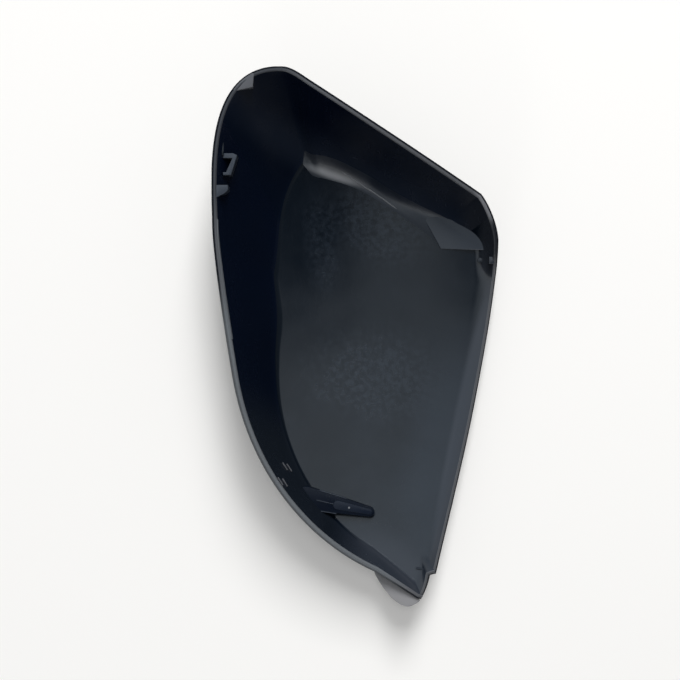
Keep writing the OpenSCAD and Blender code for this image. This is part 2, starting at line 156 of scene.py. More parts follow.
def lifted(t, d, lift):
    """Point of the skin at distance d from the rim, moved square to the skin by lift towards the hollow."""
    t, d, lift = np.broadcast_arrays(np.asarray(t, float), np.asarray(d, float), np.asarray(lift, float))
    sideways = skin(rim_at(t + 0.01), d) - skin(rim_at(t - 0.01), d)
    r = rim_at(t)
    inwards = skin(r, d + 0.1) - skin(r, d - 0.1)
    return skin(r, d) + lift[..., None] * unit(np.cross(sideways, inwards))


def put(p):
    """Millimetres of the plan as metres of the CAD's frame."""
    return (np.asarray(p) - [COVER_W / 2, COVER_L / 2, 0]) / 1000


# Mesh helpers
def inside_out(mesh):
    """Whether the faces of a closed mesh look inwards, by the sign of its volume."""
    points = np.empty(len(mesh.vertices) * 3)
    mesh.vertices.foreach_get("co", points)
    mesh.calc_loop_triangles()
    corners = np.empty(len(mesh.loop_triangles) * 3, np.int32)
    mesh.loop_triangles.foreach_get("vertices", corners)
    a, b, c = points.reshape(-1, 3)[corners.reshape(-1, 3)].transpose(1, 0, 2)
    return np.sum(a * np.cross(b, c)) < 0


def mesh_object(name, points, faces, marks=None, materials=(), sharp=35):
    mesh = bpy.data.meshes.new(name)
    mesh.from_pydata([tuple(p) for p in put(points)], [], faces)
    for m in materials:
        mesh.materials.append(m)
    if marks is not None:
        mesh.polygons.foreach_set("material_index", np.array(marks, np.int32))
    mesh.polygons.foreach_set("use_smooth", np.ones(len(mesh.polygons), bool))
    mesh.update()
    if inside_out(mesh):
        mesh.flip_normals()
    mesh.set_sharp_from_angle(angle=math.radians(sharp))
    obj = bpy.data.objects.new(name, mesh)
    bpy.context.scene.collection.objects.link(obj)
    return obj


def applied(obj):
    """obj with its modifiers turned into mesh."""
    deps = bpy.context.evaluated_depsgraph_get()
    mesh = bpy.data.meshes.new_from_object(obj.evaluated_get(deps))
    obj.modifiers.clear()
    obj.data = mesh
    return obj


def swept_faces(n, m):
    """Quads along n closed sections of m points, with both ends capped."""
    faces = []
    for i in range(n - 1):
        a, b = i * m, (i + 1) * m
        for j in range(m):
            k = (j + 1) % m
            faces.append((a + j, a + k, b + k, b + j))
    return faces + [tuple(range(m))[::-1], tuple(range((n - 1) * m, n * m))]


def ring_faces(n, m, closed_section):
    """Quads between n sections of m points that go once round."""
    faces = []
    for i in range(n):
        a, b = i * m, ((i + 1) % n) * m
        for j in range(m if closed_section else m - 1):
            k = (j + 1) % m
            faces.append((b + j, a + j, a + k, b + k))
    return faces


# Materials
def new_material(name):
    mat = bpy.data.materials.new(name)
    mat.use_nodes = True
    tree = mat.node_tree
    return mat, tree, tree.nodes["Principled BSDF"]


def node(tree, kind, inputs=None, **settings):
    n = tree.nodes.new(kind)
    for k, v in settings.items():
        setattr(n, k, v)
    for k, v in (inputs or {}).items():
        if hasattr(v, "links"):
            tree.links.new(v, n.inputs[k])
        else:
            n.inputs[k].default_value = v
    return n


def noise(tree, where, scale, detail=2.0, stretch=None):
    """Noise from about 0.3 to 0.7, with its features 1/scale metres apart."""
    if stretch:
        where = node(tree, "ShaderNodeMapping", {"Vector": where, "Scale": stretch}).outputs[0]
    return node(tree, "ShaderNodeTexNoise", {"Vector": where, "Scale": scale, "Detail": detail}).outputs[0]


def ramp(tree, value, low, high, to_low=0.0, to_high=1.0):
    return node(tree, "ShaderNodeMapRange", {0: value, 1: low, 2: high, 3: to_low, 4: to_high},
                interpolation_type="SMOOTHSTEP").outputs[0]


def maths(tree, operation, a, b):
    return node(tree, "ShaderNodeMath", {0: a, 1: b}, operation=operation).outputs[0]


def times(tree, first, *rest):
    for value in rest:
        first = maths(tree, "MULTIPLY", first, value)
    return first


def mix_colour(tree, share, a, b):
    n = tree.nodes.new("ShaderNodeMix")
    n.data_type = "RGBA"
    for socket, value in ((n.inputs[0], share), (n.inputs[6], a), (n.inputs[7], b)):
        if hasattr(value, "links"):
            tree.links.new(value, socket)
        else:
            socket.default_value = value
    return n.outputs[2]


def spot(tree, where, centre, radii, turn=0.0, edge=0.6):
    """1 inside an ellipse in plan, falling to 0 past its edge. Millimetres in the CAD's frame."""
    moved = node(tree, "ShaderNodeMapping", {
        "Vector": where, "Location": (centre[0] / 1000, centre[1] / 1000, 0),
        "Rotation": (0, 0, math.radians(turn)), "Scale": (radii[0] / 1000, radii[1] / 1000, 1000)},
        vector_type="TEXTURE").outputs[0]
    reach = node(tree, "ShaderNodeVectorMath", {0: moved}, operation="LENGTH").outputs["Value"]
    return ramp(tree, reach, 1 + edge, 1 - edge)


def plastic(name, colour, roughness, specular=0.5, grain=0.00001, wave=0.0, dust_and_sheen=None, coat=0.0, patches=(),
            tints=()):
    """Moulded plastic. grain and wave are bump heights in metres, and dust_and_sheen is the colour of the
    dust that lies on surfaces facing up, with its least and greatest share. Its share grows towards -y, which
    also paints a brightening towards the nose that stands in for reflected light. patches are mottled places
    in the dust, as centre, radii, turn and share. tints are places of another colour, mostly painted light or
    shade, as centre, radii, turn, colour, share and edge."""
    mat, tree, bsdf = new_material(name)
    where = node(tree, "ShaderNodeTexCoord").outputs["Object"]
    base = (*colour, 1)
    if dust_and_sheen:
        dust_and_sheen_colour, least, most = dust_and_sheen
        normal = node(tree, "ShaderNodeNewGeometry").outputs["Normal"]
        facing_up = ramp(tree, node(tree, "ShaderNodeSeparateXYZ", {0: normal}).outputs["Z"], 0.72, 0.99)
        cloud = ramp(tree, noise(tree, where, 38, 6), 0.34, 0.7)
        flecks = ramp(tree, noise(tree, where, 420, 3), 0.52, 0.72)
        # The dust's share rises towards -y: real dust, with a painted sheen towards the nose on top of it.
        along_y = node(tree, "ShaderNodeSeparateXYZ", {0: where}).outputs["Y"]
        dust_and_sheen_level = ramp(tree, along_y, 0.07, -0.11, least, most)
        share = times(tree, maths(tree, "ADD", times(tree, cloud, 0.75), times(tree, flecks, 0.25)), dust_and_sheen_level)
        for centre, radii, turn, gain in patches:
            mottle = ramp(tree, noise(tree, where, 430, 6), 0.30, 0.72)
            patch = times(tree, spot(tree, where, centre, radii, turn), mottle, gain)
            share = maths(tree, "ADD", share, patch)
        base = mix_colour(tree, times(tree, share, facing_up), base, (*dust_and_sheen_colour, 1))
    for centre, radii, turn, tint, share, edge in tints:
        cover = times(tree, spot(tree, where, centre, radii, turn, edge), share)
        base = mix_colour(tree, cover, base, (*tint, 1))
    if hasattr(base, "links"):
        tree.links.new(base, bsdf.inputs["Base Color"])
    else:
        bsdf.inputs["Base Color"].default_value = base
    scuffs = ramp(tree, noise(tree, where, 60, 4, (6, 1, 1)), 0.55, 0.75)
    uneven = ramp(tree, noise(tree, where, 90, 4), 0.3, 0.7, roughness * 0.85, roughness * 1.15)
    rough = maths(tree, "ADD", uneven, times(tree, scuffs, 0.04))
    tree.links.new(rough, bsdf.inputs["Roughness"])
    bsdf.inputs["Specular IOR Level"].default_value = specular
    bsdf.inputs["Coat Weight"].default_value = coat
    bsdf.inputs["Coat Roughness"].default_value = 0.06
    height = times(tree, noise(tree, where, 2600, 2), grain)
    if wave:
        height = maths(tree, "ADD", height, times(tree, noise(tree, where, 46, 1), wave))
    bump = node(tree, "ShaderNodeBump", {"Height": height, "Strength": 1.0, "Distance": 1.0})
    tree.links.new(bump.outputs[0], bsdf.inputs["Normal"])
    return mat


# Places of another tone, in millimetres of the CAD's frame and in the order that plastic() gives. Most are
# painted light or shade, paler or darker than the plastic where it catches more or less light.
MOTTLED = [((10, 55), (21, 15), -30, 0.20), ((6, -17), (27, 20), 0, 0.15), ((-17, 45), (7, 22), 8, 0.12)]
# The first, second and last are painted reflections: a pale band along the low right edge, a paler place at
# the outer corner and one on the lower left wall by the nose. The third is a bluer tone over the lower right
# floor.
INNER_TINTS_AND_SHEEN = [
    ((49, -40), (4.5, 76), -12, (0.034, 0.040, 0.053), 0.8, 0.3),
    ((61.5, 46), (5, 24), 0, (0.024, 0.028, 0.036), 0.9, 0.4),
    ((44, -55), (20, 52), -14, (0.020, 0.030, 0.046), 0.35, 0.5),
    ((18, -108), (26, 13), -40, (0.021, 0.027, 0.038), 0.9, 0.5),
]
# Painted glow: a pale band along the foot of the sloping wall, above its crease, standing in for reflected
# light.
FOOT_GLOW = ((15.4, 68.5), (50, 7.5), -26.6, (0.017, 0.024, 0.040))
# All painted light: the glow above the crease, and paler places on the lower left wall, by the nose and at
# the outer corner, standing in for reflections.
WALL_PAINTED_SHEEN = [
    (*FOOT_GLOW, 0.85, 1.0),
    ((-33, -66), (46, 19), -52, (0.009, 0.0125, 0.018), 0.9, 0.5),
    ((18, -108), (26, 13), -40, (0.026, 0.032, 0.043), 0.9, 0.5),
    ((59, 52), (9, 18), 20, (0.018, 0.021, 0.028), 0.8, 0.5),
]
# Painted light and shade on the rim: paler along the lower left, darker along the upper left, and a
# near-black and a pale place side by side at the outer corner.
RIM_PAINTED_LIGHT_AND_SHADE = [
    ((-25, -50), (60, 85), 0, (0.120, 0.132, 0.145), 0.95, 0.15),
    ((-62, 103), (34, 48), 0, (0.028, 0.031, 0.038), 0.95, 0.25),
    ((68, 47), (9, 14), 0, (0.006, 0.007, 0.010), 0.95, 0.3),
    ((60, 64), (6, 9), 20, (0.150, 0.155, 0.170), 0.95, 0.3),
]
inner_plastic = plastic("inner_plastic", (0.0022, 0.0048, 0.0092), 0.17, wave=0.00012,
                        dust_and_sheen=((0.062, 0.082, 0.112), 0.02, 0.11), patches=MOTTLED, tints=INNER_TINTS_AND_SHEEN)
wall_plastic = plastic("wall_plastic", (0.0018, 0.0042, 0.0120), 0.24, specular=0.22, wave=0.00008,
                       tints=WALL_PAINTED_SHEEN)
shaded_plastic = plastic("shaded_plastic", (0.0022, 0.0048, 0.0120), 0.3, specular=0.06, wave=0.00008,
                         tints=[(*FOOT_GLOW, 0.95, 1.0)])
# Painted highlight on the foot ramp: the glow, a soft pale band and a thin bright streak along the crease,
# where the real cover reflects a light.
ramp_highlight_plastic = plastic("ramp_highlight_plastic", (0.0022, 0.0048, 0.0092), 0.36, wave=0.00012, tints=[
    (*FOOT_GLOW, 0.4, 0.6),
    ((-12, 78.5), (12, 5), -24, (0.024, 0.028, 0.036), 0.9, 0.9),
    ((-11.5, 77.3), (10, 1.4), -19, (0.240, 0.252, 0.270), 0.95, 0.95)])
# Pale plastic for the crease line and the dot on the finger: a painted highlight and a painted glint.
highlight_plastic = plastic("highlight_plastic", (0.150, 0.160, 0.175), 0.3)
core_plastic = plastic("core_plastic", (0.006, 0.010, 0.020), 0.3, specular=0.3)
outer_gloss = plastic("outer_gloss", (0.003, 0.005, 0.009), 0.22, grain=0.000002, coat=1.0)
rim_plastic = plastic("rim_plastic", (0.075, 0.079, 0.088), 0.45, tints=RIM_PAINTED_LIGHT_AND_SHADE)
fitting_plastic = plastic("fitting_plastic", (0.033, 0.041, 0.055), 0.38)
pale_plastic = plastic("pale_plastic", (0.089, 0.093, 0.105), 0.5)
# Pale grey on black plastic: a painted highlight where the nose ledge catches the light.
ledge_plastic = plastic("ledge_plastic", (0.235, 0.235, 0.245), 0.5)
# The edge bead's tint is a painted reflection, paler along the lower left.
edge_plastic = plastic("edge_plastic", (0.003, 0.0045, 0.008), 0.4, specular=0.1, tints=[
    ((-25, -50), (60, 85), 0, (0.085, 0.092, 0.100), 0.95, 0.15)])
# Paler than the rim: a painted highlight on the tilted land.
land_plastic = plastic("land_plastic", (0.110, 0.120, 0.132), 0.45)
pad_plastic = plastic("pad_plastic", (0.016, 0.022, 0.033), 0.2, wave=0.00008)
finger_plastic = plastic("finger_plastic", (0.002, 0.0045, 0.011), 0.3, specular=0.22)

# Shell
STATION_SPLIT = 4
WALL_STEPS, BEND_STEPS, FLOOR_STEPS = 14, 12, 14
INNER, OUTER, RIM, WALL, EDGE, SHADED = range(6)
TALL_RIM, LOW_SIDE_FROM = 30, 5
WALL_COLUMNS = 19  # faces of the inner skin from the rim to about the middle of the bend
SHADED_FROM, SHADED_TO = 13.35, 0.45
stations = np.array([i + k / (FACETS[i] * STATION_SPLIT)
                     for i in range(len(KEYS)) for k in range(FACETS[i] * STATION_SPLIT)])


def shell_depths(t, centre_gap=2.0):
    """Distances from the rim at which a section has points, from the first below the rim to the last."""
    r = rim_at(t)
    foot = r[:, 3][:, None]
    length = np.linalg.norm(CENTRE - r[:, :2], axis=1)[:, None] - centre_gap
    wall = np.linspace(0, 1, WALL_STEPS + 1)[1:][None] * (foot - BLEND)
    bend = foot + np.linspace(-1, 1, BEND_STEPS + 1)[1:][None] * BLEND
    floor = foot + BLEND + np.linspace(0, 1, FLOOR_STEPS + 1)[1:][None] * (length - foot - BLEND)
    first = np.full_like(foot, RIM_C)
    wall = np.maximum(wall, RIM_C + 0.2)
    return np.concatenate([first, wall, bend, floor], axis=1)


def rim_arc(centre_d, centre_lift, start, end, steps=5):
    """Arc of the rim's rounding, as distances from the rim and lifts."""
    a = np.radians(np.linspace(start, end, steps))
    return [(centre_d + RIM_C * math.cos(x), centre_lift + RIM_C * math.sin(x)) for x in a]


# The painted skin wraps over the rim as a bead, and the bare land inside it lies a little lower.
BEAD_W, BEAD_H = 1.2, 0.15


def build_shell():
    t = stations[:, None]
    depths = shell_depths(stations)
    outer = lifted(t, depths, 0.0)[:, ::-1]
    bead = rim_arc(RIM_C, RIM_C, 270, 180)[1:] + [(0, BEAD_W - 0.1), (0.05, BEAD_W)]
    land = [(BEAD_H, BEAD_W + 0.08)] + rim_arc(BEAD_H + RIM_C, WALL_T - RIM_C, 180, 90)[:-1]
    rim = np.stack([lifted(stations, d, lift) for d, lift in bead + land], axis=1)
    depths[:, 0] += BEAD_H
    inner = lifted(t, depths, WALL_T)
    sections = np.concatenate([outer, rim, inner], axis=1)
    n, m = sections.shape[:2]
    faces = ring_faces(n, m, False)
    tall = rim_at(stations)[:, 2] > TALL_RIM
    tall |= (stations > 0) & (stations < LOW_SIDE_FROM)
    walls = np.arange(depths.shape[1] - 1) < WALL_COLUMNS
    inside = np.where(tall[:, None] & walls, WALL, INNER)
    shaded = (stations > SHADED_FROM) | (stations < SHADED_TO)
    inside[shaded[:, None] & walls] = SHADED
    under = np.tile([OUTER] * (depths.shape[1] - 1) + [EDGE] * len(bead) + [RIM] * (len(land) + 1), (n, 1))
    marks = np.concatenate([under, inside], axis=1).ravel()
    points = list(sections.reshape(-1, 3))
    under_centre, over_centre = len(points), len(points) + 1
    points += [np.array([*CENTRE, 0.0]), np.array([*CENTRE, WALL_T])]
    for i in range(n):
        a, b = i * m, ((i + 1) % n) * m
        faces += [(under_centre, a, b), (over_centre, b + m - 1, a + m - 1)]
    marks = list(marks) + [OUTER, INNER] * n
    slots = {INNER: inner_plastic, OUTER: outer_gloss, RIM: rim_plastic, WALL: wall_plastic,
             EDGE: edge_plastic, SHADED: shaded_plastic}
    return mesh_object("shell", points, faces, marks, [slots[k] for k in sorted(slots)], sharp=40)


shell = build_shell()

# Fittings
ROOM_H = 72.0
POST_LOW, SEAT_H = 20, 53
HOOK_TOP, HOOK_LOW, HOOK_IN, HOOK_H, HOOK_T = 205.4, 195.6, 11.3, 49.5, 2.2
FOOT_X, LOW_X = HOOK_IN - 6.4, HOOK_IN - 2.8
GUSSET_AT = 0.21
FINGER_AT, FINGER_TURN, FINGER_H = (70.6, 42.7), -12, 16
FINGER_DETAIL_LOW = FINGER_H - 4
FINGER_RIBS = [(-25, -12, 2.6, -17), (-27, -15, -3.4, -9), (-25, -17, -0.4, -13)]
# DOT is the place of a pale dot on the finger, a painted glint.
DOT, DOT_R = (61.2, 44.6), 0.5
SMALL_RIBS, SMALL_RIB_TURN, SMALL_RIB_LIFT = [(30.6, 66), (29.0, 60.3)], -58, 0.4
FOLD_Y = 164.8
PEG, PEG_R = (122, 159.3), 1.2


def build_room():
    """Closed volume above the middle of the wall, which the fittings are cut to."""
    t = stations[::2]
    depths = shell_depths(t)[:, ::2]
    mid = lifted(t[:, None], depths, WALL_T / 2)[:, ::-1]
    top = lifted(t, 0.0, WALL_T / 2)[:, None]
    high = top.copy()
    high[..., 2] = ROOM_H
    sections = np.concatenate([mid, top, high], axis=1)
    n, m = sections.shape[:2]
    faces = ring_faces(n, m, False)
    faces.append(tuple(i * m for i in range(n)))
    faces.append(tuple(i * m + m - 1 for i in range(n))[::-1])
    return mesh_object("room", sections.reshape(-1, 3), faces)


room = build_room()


def cut_to_room(obj):
    """obj without what lies outside the room."""
    c = obj.modifiers.new("room", "BOOLEAN")
    c.operation = "INTERSECT"
    c.solver = "EXACT"
    c.object = room
    applied(obj)
    obj.data.polygons.foreach_set("use_smooth", np.ones(len(obj.data.polygons), bool))
    obj.data.set_sharp_from_angle(angle=math.radians(35))
    return obj


def inner_top(x, y):
    """Height of the shell's inner skin, walls too."""
    return shell.ray_cast(put((x, y, ROOM_H)), (0, 0, -1))[1][2] * 1000


def prism(name, outline, bottom, top, bevel=0.25, materials=(inner_plastic,)):
    """Upright prism over a plan outline, with bevelled edges and its lower end cut to the room."""
    n = len(outline)
    tops = top if np.ndim(top) else [top] * n
    points = [(x, y, bottom) for x, y in outline] + [(x, y, z) for (x, y), z in zip(outline, tops)]
    faces = [tuple(range(n))[::-1], tuple(range(n, 2 * n))]
    faces += [(i, (i + 1) % n, n + (i + 1) % n, n + i) for i in range(n)]
    obj = mesh_object(name, points, faces, materials=materials)
    if bevel:
        b = obj.modifiers.new("edges", "BEVEL")
        b.width = bevel / 1000
        b.segments = 3
        b.limit_method = "ANGLE"
        b.angle_limit = math.radians(25)
        applied(obj)
    return cut_to_room(obj)


def turned(points, at, degrees):
    a = math.radians(degrees)
    c, s = math.cos(a), math.sin(a)
    return [(at[0] + c * x - s * y, at[1] + s * x + c * y) for x, y in points]


def bar(length, width):
    return [(0, -width / 2), (length, -width / 2), (length, width / 2), (0, width / 2)]


# Hook, the rib above it and the seat under it.
hook = prism("hook_post", [
    (FOOT_X, HOOK_TOP), (FOOT_X, HOOK_TOP - HOOK_T), (HOOK_IN - HOOK_T, HOOK_TOP - HOOK_T),
    (LOW_X - HOOK_T, HOOK_LOW + 1.4), (FOOT_X, HOOK_LOW + 1.4), (FOOT_X, HOOK_LOW), (LOW_X, HOOK_LOW),
    (HOOK_IN, HOOK_TOP - 0.9), (HOOK_IN - 1.8, HOOK_TOP),
], POST_LOW, HOOK_H, materials=(fitting_plastic,))
hook_rib = prism("hook_rib", turned(bar(5.6, 0.9), (4.9, 204.4), 90), POST_LOW, HOOK_H + 1, bevel=0.15)
seat = prism("seat", [(0, 191), (0, 184.2), (6.0, 187.35), (7.4, 188.7), (7.4, 191)], POST_LOW, SEAT_H,
             materials=(fitting_plastic,))

# Gusset in the upper bend of the rim.
at = rim_at(np.array(GUSSET_AT))
ahead = rim_at(np.array(GUSSET_AT + 0.01)) - at
gusset_h = float(lifted(GUSSET_AT, 0, WALL_T)[2]) - 0.5
gusset = prism("gusset", turned([(-5.75, 0), (5.75, 0), (5.75, WALL_T), (-1.44, 6.4), (-5.75, WALL_T)],
                                at[:2], math.degrees(math.atan2(ahead[1], ahead[0]))), 30, gusset_h,
               materials=(pale_plastic,))

circle = [(math.cos(a), math.sin(a)) for a in np.linspace(0, 2 * math.pi, 33)[:-1]]


def finger_outline(nose_r=2.3, root_r=5.5, length=30.0):
    """Tapering outline with two round ends. The nose's centre is at FINGER_AT."""
    lean = math.asin((root_r - nose_r) / length)
    a = np.linspace(-math.pi / 2 + lean, math.pi / 2 - lean, 15)
    b = np.linspace(math.pi / 2 - lean, 3 * math.pi / 2 + lean, 21)
    pts = [(nose_r * math.cos(x), nose_r * math.sin(x)) for x in a]
    pts += [(-length + root_r * math.cos(x), root_r * math.sin(x)) for x in b]
    return turned(pts, FINGER_AT, FINGER_TURN)


# Finger clip with its core, a pale dot that is a painted glint, and thin ribs.
finger = prism("finger_clip", finger_outline(), 2, FINGER_H, materials=(finger_plastic,))
finger_core = prism("finger_core", finger_outline(1.3, 2.1, 15.0), FINGER_DETAIL_LOW, FINGER_H + 0.25,
                    bevel=0.12, materials=(core_plastic,))
glint_outline = [(DOT[0] + DOT_R * x, DOT[1] + DOT_R * y) for x, y in circle[::2]]
finger_glint = prism("finger_glint", glint_outline, FINGER_DETAIL_LOW, FINGER_H + 0.5, bevel=0.12,
                   materials=(highlight_plastic,))
fittings = [hook, hook_rib, seat, gusset, finger, finger_core, finger_glint]
for k, (inner, outer, y, turn) in enumerate(FINGER_RIBS):
    strip = [(inner, y), (outer, y), (outer, y + 0.35), (inner, y + 0.35)]
    fittings.append(prism(f"finger_rib_{k}", turned(strip, FINGER_AT, turn), FINGER_DETAIL_LOW,
                          FINGER_H + 0.2, bevel=0.08, materials=(fitting_plastic,)))

# Pairs of small ribs on the lower left wall. Their heights come from rays cast at the shell.
bpy.context.view_layer.update()
for k, (x, y) in enumerate(SMALL_RIBS):
    for side in (0, 1):
        outline = turned(bar(4.2, 0.5), (x + side * 1.9, y - side * 0.9), SMALL_RIB_TURN)
        upper, lower = (inner_top(*corner) + SMALL_RIB_LIFT for corner in outline[:2])
        fittings.append(prism(f"small_rib_{k}{side}", outline, lower - 12, [upper, lower, lower, upper],
                              bevel=0.1, materials=(pale_plastic,)))

# Peg, catch and pad at the outer corner.
peg_top = float(floor_z(*PEG)) + WALL_T + 2
fittings.append(prism("corner_peg", [(PEG[0] + PEG_R * x, PEG[1] + PEG_R * y) for x, y in circle], 5, peg_top,
                      bevel=0.3))
catch_outline = [(125.6, 157.3), (128.2, 157.3), (128.2, 160.7), (125.6, 160.7)]
fittings.append(prism("catch", catch_outline, 8, 21.5, bevel=0.3))

pad_left, pad_right = np.array([104.0, FOLD_Y]), np.array([125.0, FOLD_Y - 1])
pad_upper = pad_left + [-0.55 * 19, 19]
left_z, right_z, upper_z = (float(floor_z(*p)) + WALL_T + h for p, h in
                            ((pad_left, 0.4), (pad_right, 2.4), (pad_upper, 0.4)))
pad_outline = [tuple(p) for p in (pad_left, pad_right, pad_right + pad_upper - pad_left, pad_upper)]
fittings.append(prism("corner_pad", pad_outline, 1, [left_z, right_z, right_z + upper_z - left_z, upper_z],
                      bevel=0.35, materials=(pad_plastic,)))


# Swept pieces
def inner_z(x, y, lift=0.0):
    """Height of the inner skin over the crowned floor."""
    slope = np.hypot((x - CENTRE[0]) / R_ACROSS, (y - CENTRE[1]) / R_ALONG)
    return floor_z(x, y) + (WALL_T + lift) * np.sqrt(1 + slope ** 2)


def cubic(p, u):
    u = np.asarray(u)[..., None]
    p = np.asarray(p, float)
    return p[0] * (1 - u) ** 3 + 3 * p[1] * u * (1 - u) ** 2 + 3 * p[2] * u * u * (1 - u) + p[3] * u ** 3


def swept(name, sections, materials=(inner_plastic,), sharp=35):
    n, m = sections.shape[:2]
    return mesh_object(name, sections.reshape(-1, 3), swept_faces(n, m), materials=materials, sharp=sharp)


def build_ledge(steps=60):
    s = np.linspace(0, 1, steps + 1)
    start, end, nose = np.array([73.0, 14.5]), TOE - [0.5, 0.4], np.array([88.2, 0.0])
    share = 0.7
    to_nose = cubic([start, start + [2.9, -5.8], nose - [6, 0], nose], np.clip(s / share, 0, 1))
    past_nose = np.clip((s - share) / (1 - share), 0, 1)
    to_end = cubic([nose, nose + [1.8, 0], end - [1.1, 1.2], end], past_nose)
    edge = np.where((s < share)[:, None], to_nose, to_end)
    root = skin(rim_at(3.02 + s * 1.38), np.full(len(s), 6.0))[:, :2]
    inward = unit(root - edge)
    low, high, r = 0.3, 2.1, 0.45
    columns = [(edge + inward * r, low), (root, low), (root, high), (edge + inward * r, high)]
    for a in np.radians([120, 150, 180, 210, 240]):
        lift = (low + high) / 2 + (high - low) / 2 * math.sin(a)
        columns.append((edge + inward * (r + r * math.cos(a)), lift))
    points = [np.concatenate([q, (floor_z(q[:, 0], q[:, 1]) + lift)[:, None]], axis=1) for q, lift in columns]
    return swept("nose_ledge", np.stack(points, axis=1), materials=(ledge_plastic,), sharp=50)


def build_rim_land(steps=72):
    s = np.linspace(0, 1, steps + 1)
    t = 0.97 + s * 0.75
    w = 0.15 + 0.3 * (0.5 + 0.5 * np.cos(2 * np.pi * s))
    cut, top = 0.12, WALL_T + w
    corners = [(0.3, WALL_T / 2), (1.0, WALL_T / 2), (1.0, WALL_T + 0.05),
               (0.3 + cut, top + (0.05 - w) * cut / 0.7), (0.3, top - cut)]
    sections = np.stack([lifted(t, d, lift) for d, lift in corners], axis=1)
    return swept("rim_land", sections, materials=(land_plastic,), sharp=25)


# Reach of the ramp up the wall and over the floor from the wall's foot, by place along the rim.
RAMP = np.array([
    [10.3, 0.9, 7], [10.5, 0.8, 11], [10.8, 0.9, 9.6], [11, 0.8, 9], [11.25, 1, 6.6], [11.5, 1.8, 4.2],
    [11.75, 2.6, 2.8], [12, 2.6, 2.8], [12.25, 2.8, 2.8], [12.5, 4.2, 2.4], [12.75, 5.8, 2],
    [13, 5.8, 2], [13.25, 4.4, 3.4], [13.5, 4, 4.6], [13.7, 3.8, 5], [13.9, 3, 4.4], [14, 1, 2],
])


def smoothed(path, reach=9):
    """path with each point moved to the mean of its neighbours."""
    weights = np.hanning(2 * reach + 3)[1:-1]
    padded = np.pad(path, ((reach, reach), (0, 0)), mode="reflect", reflect_type="odd")
    return np.stack([np.convolve(padded[:, k], weights / weights.sum(), "valid") for k in range(3)], axis=1)


def build_foot_ramp(steps=180):
    """Ramp between the sloping wall and the floor, with a soft upper edge and a fillet at its crease."""
    t = np.linspace(RAMP[0, 0], RAMP[-1, 0], steps + 1)
    near_t = t[:, None] + np.linspace(-0.12, 0.12, 9)
    up, out = (np.interp(near_t, RAMP[:, 0], RAMP[:, k]).mean(axis=1) for k in (1, 2))
    foot = rim_at(t)[:, 3]
    tail = 0.1 + 0.9 * np.clip((t[-1] - t) / 0.45, 0, 1) ** 0.6
    near, far = foot - up * tail, foot + out * tail
    fade = np.clip(np.minimum(t - t[0], t[-1] - t) / 0.3, 0.1, 1)
    soft, tight = 2.4 * fade, 1.3 * fade
    high, low = smoothed(lifted(t, near, WALL_T + 0.03)), smoothed(lifted(t, far, WALL_T + 0.03))
    run = (far - near)
    step = (low - high) / run[:, None]
    top = [lifted(t, near - soft, WALL_T + 0.01), high, high + step * soft[:, None] * 1.1]
    end = [low - step * tight[:, None], low, lifted(t, far + tight, WALL_T + 0.01)]
    columns = []
    for (a, b, c), count in ((top, 9), (end, 7)):
        for u in np.linspace(0, 1, count):
            columns.append(a * (1 - u) ** 2 + 2 * b * u * (1 - u) + c * u * u)
    columns += [lifted(t, far + tight, WALL_T - 0.4), lifted(t, foot, WALL_T * 0.4),
                lifted(t, near - soft, WALL_T - 0.4)]
    return swept("foot_ramp", np.stack(columns, axis=1), materials=(ramp_highlight_plastic,), sharp=60)


def build_crease_line(steps=60):
    """Fine raised line along the ramp, where its mould is split, in pale plastic that paints on the thin
    highlight of the crease.
    """
    t = np.linspace(12.62, 11.62, steps + 1)
    up, out = (np.interp(t, RAMP[:, 0], RAMP[:, k]) for k in (1, 2))
    foot = rim_at(t)[:, 3]
    high, low = smoothed(lifted(t, foot - up, WALL_T)), smoothed(lifted(t, foot + out, WALL_T))
    share = np.interp(t, [11.62, 11.9, 12.2, 12.4, 12.62], [0.95, 0.74, 0.73, 0.53, 0.28])[:, None]
    path = high + (low - high) * share
    across = unit(low - high)
    raised = unit(np.cross(across, np.gradient(path, axis=0)))
    raised *= np.sign(raised[:, 2:])
    size = np.clip(np.sin(np.linspace(0, np.pi, steps + 1)) * 2.2, 0.15, 1)[:, None]
    points = [path + size * (a * across + b * raised) for a, b in
              ((-0.4, -0.3), (-0.36, 0.06), (-0.16, 0.24), (0.16, 0.24), (0.36, 0.06), (0.4, -0.3))]
    return swept("crease_line", np.stack(points, axis=1), materials=(highlight_plastic,), sharp=80)


def build_heel_rib():
    path = HEEL + np.array([(-9.2, 2.6), (-6.9, 2.3), (-4.6, 1.8), (-2.3, 1.4), (0, 1)])
    out = []
    for dy, lift in ((0.45, -1.2), (-0.45, -1.2), (-0.45, 0.75), (-0.3, 0.9), (0.3, 0.9), (0.45, 0.75)):
        out.append(np.array([(x, y + dy, inner_z(x, y, lift)) for x, y in path]))
    return cut_to_room(swept("heel_rib", np.stack(out, axis=1)))


def build_witness_ring(name, x, y, radius, width=0.35, height=0.08, steps=72):
    """Faint raised ring that an ejector pin leaves on the floor."""
    a = np.linspace(0, 2 * np.pi, steps + 1)[:-1]
    out = []
    for dr, lift in ((-width / 2, -0.3), (-width / 4, height), (width / 4, height), (width / 2, -0.3)):
        px, py = x + (radius + dr) * np.cos(a), y + (radius + dr) * np.sin(a)
        out.append(np.stack([px, py, inner_z(px, py, lift)], axis=1))
    sections = np.stack(out, axis=1)
    return mesh_object(name, sections.reshape(-1, 3), ring_faces(steps, 4, True), materials=(inner_plastic,))


fittings += [build_ledge(), build_rim_land(), build_foot_ramp(), build_crease_line(), build_heel_rib()]
for k, (x, y, radius) in enumerate([(49, 66, 5.5), (50, 136, 4.0), (88, 101, 4.0)]):
    fittings.append(build_witness_ring(f"witness_ring_{k}", x, y, radius))


